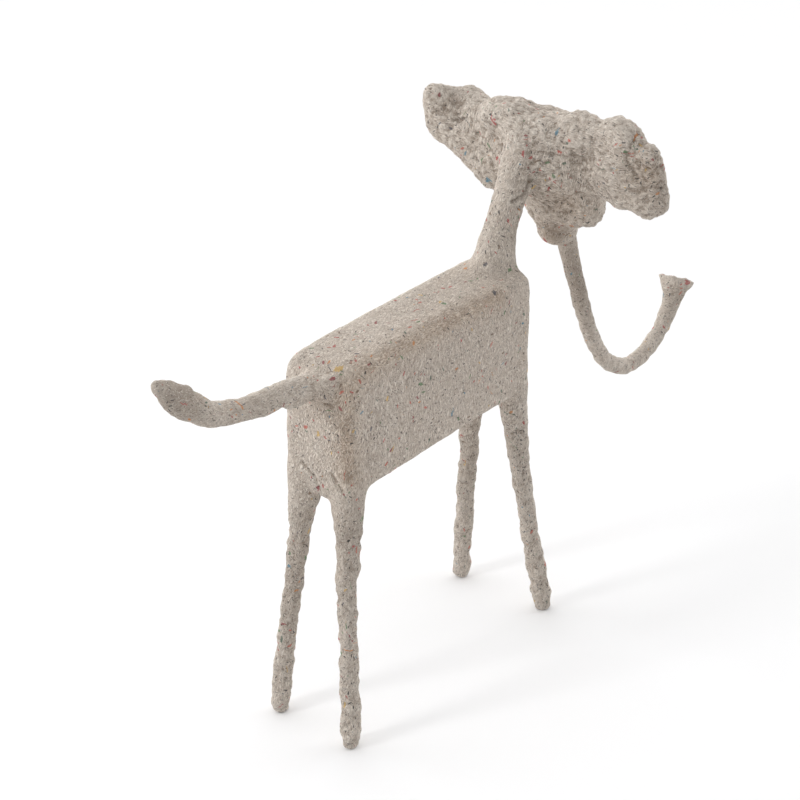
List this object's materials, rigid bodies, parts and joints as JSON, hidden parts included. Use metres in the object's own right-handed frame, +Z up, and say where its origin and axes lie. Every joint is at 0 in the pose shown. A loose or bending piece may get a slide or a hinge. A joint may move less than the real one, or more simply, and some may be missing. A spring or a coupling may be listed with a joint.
{
  "type": "elephant statue",
  "caption": "Papier-mache elephant statue: boxy body on stick legs, leaning neck, wide lumpy ears, a long trunk curled up to a flared tip, and a tail swept up to a tuft.",
  "frame": {"origin": "on the floor, under the middle of the whole statue's outer box", "axes": "the elephant faces -Y, its tail points to +Y, its left side is at +X, and +Z is up"},
  "size_m": [0.2398, 0.7112, 0.4542],
  "materials": {
    "paper_pulp": "matt recycled paper pulp with dark fibres and sparse coloured flecks"
  },
  "bodies": {
    "root": {"elephant_statue": "paper_pulp"}
  },
  "joints": []
}
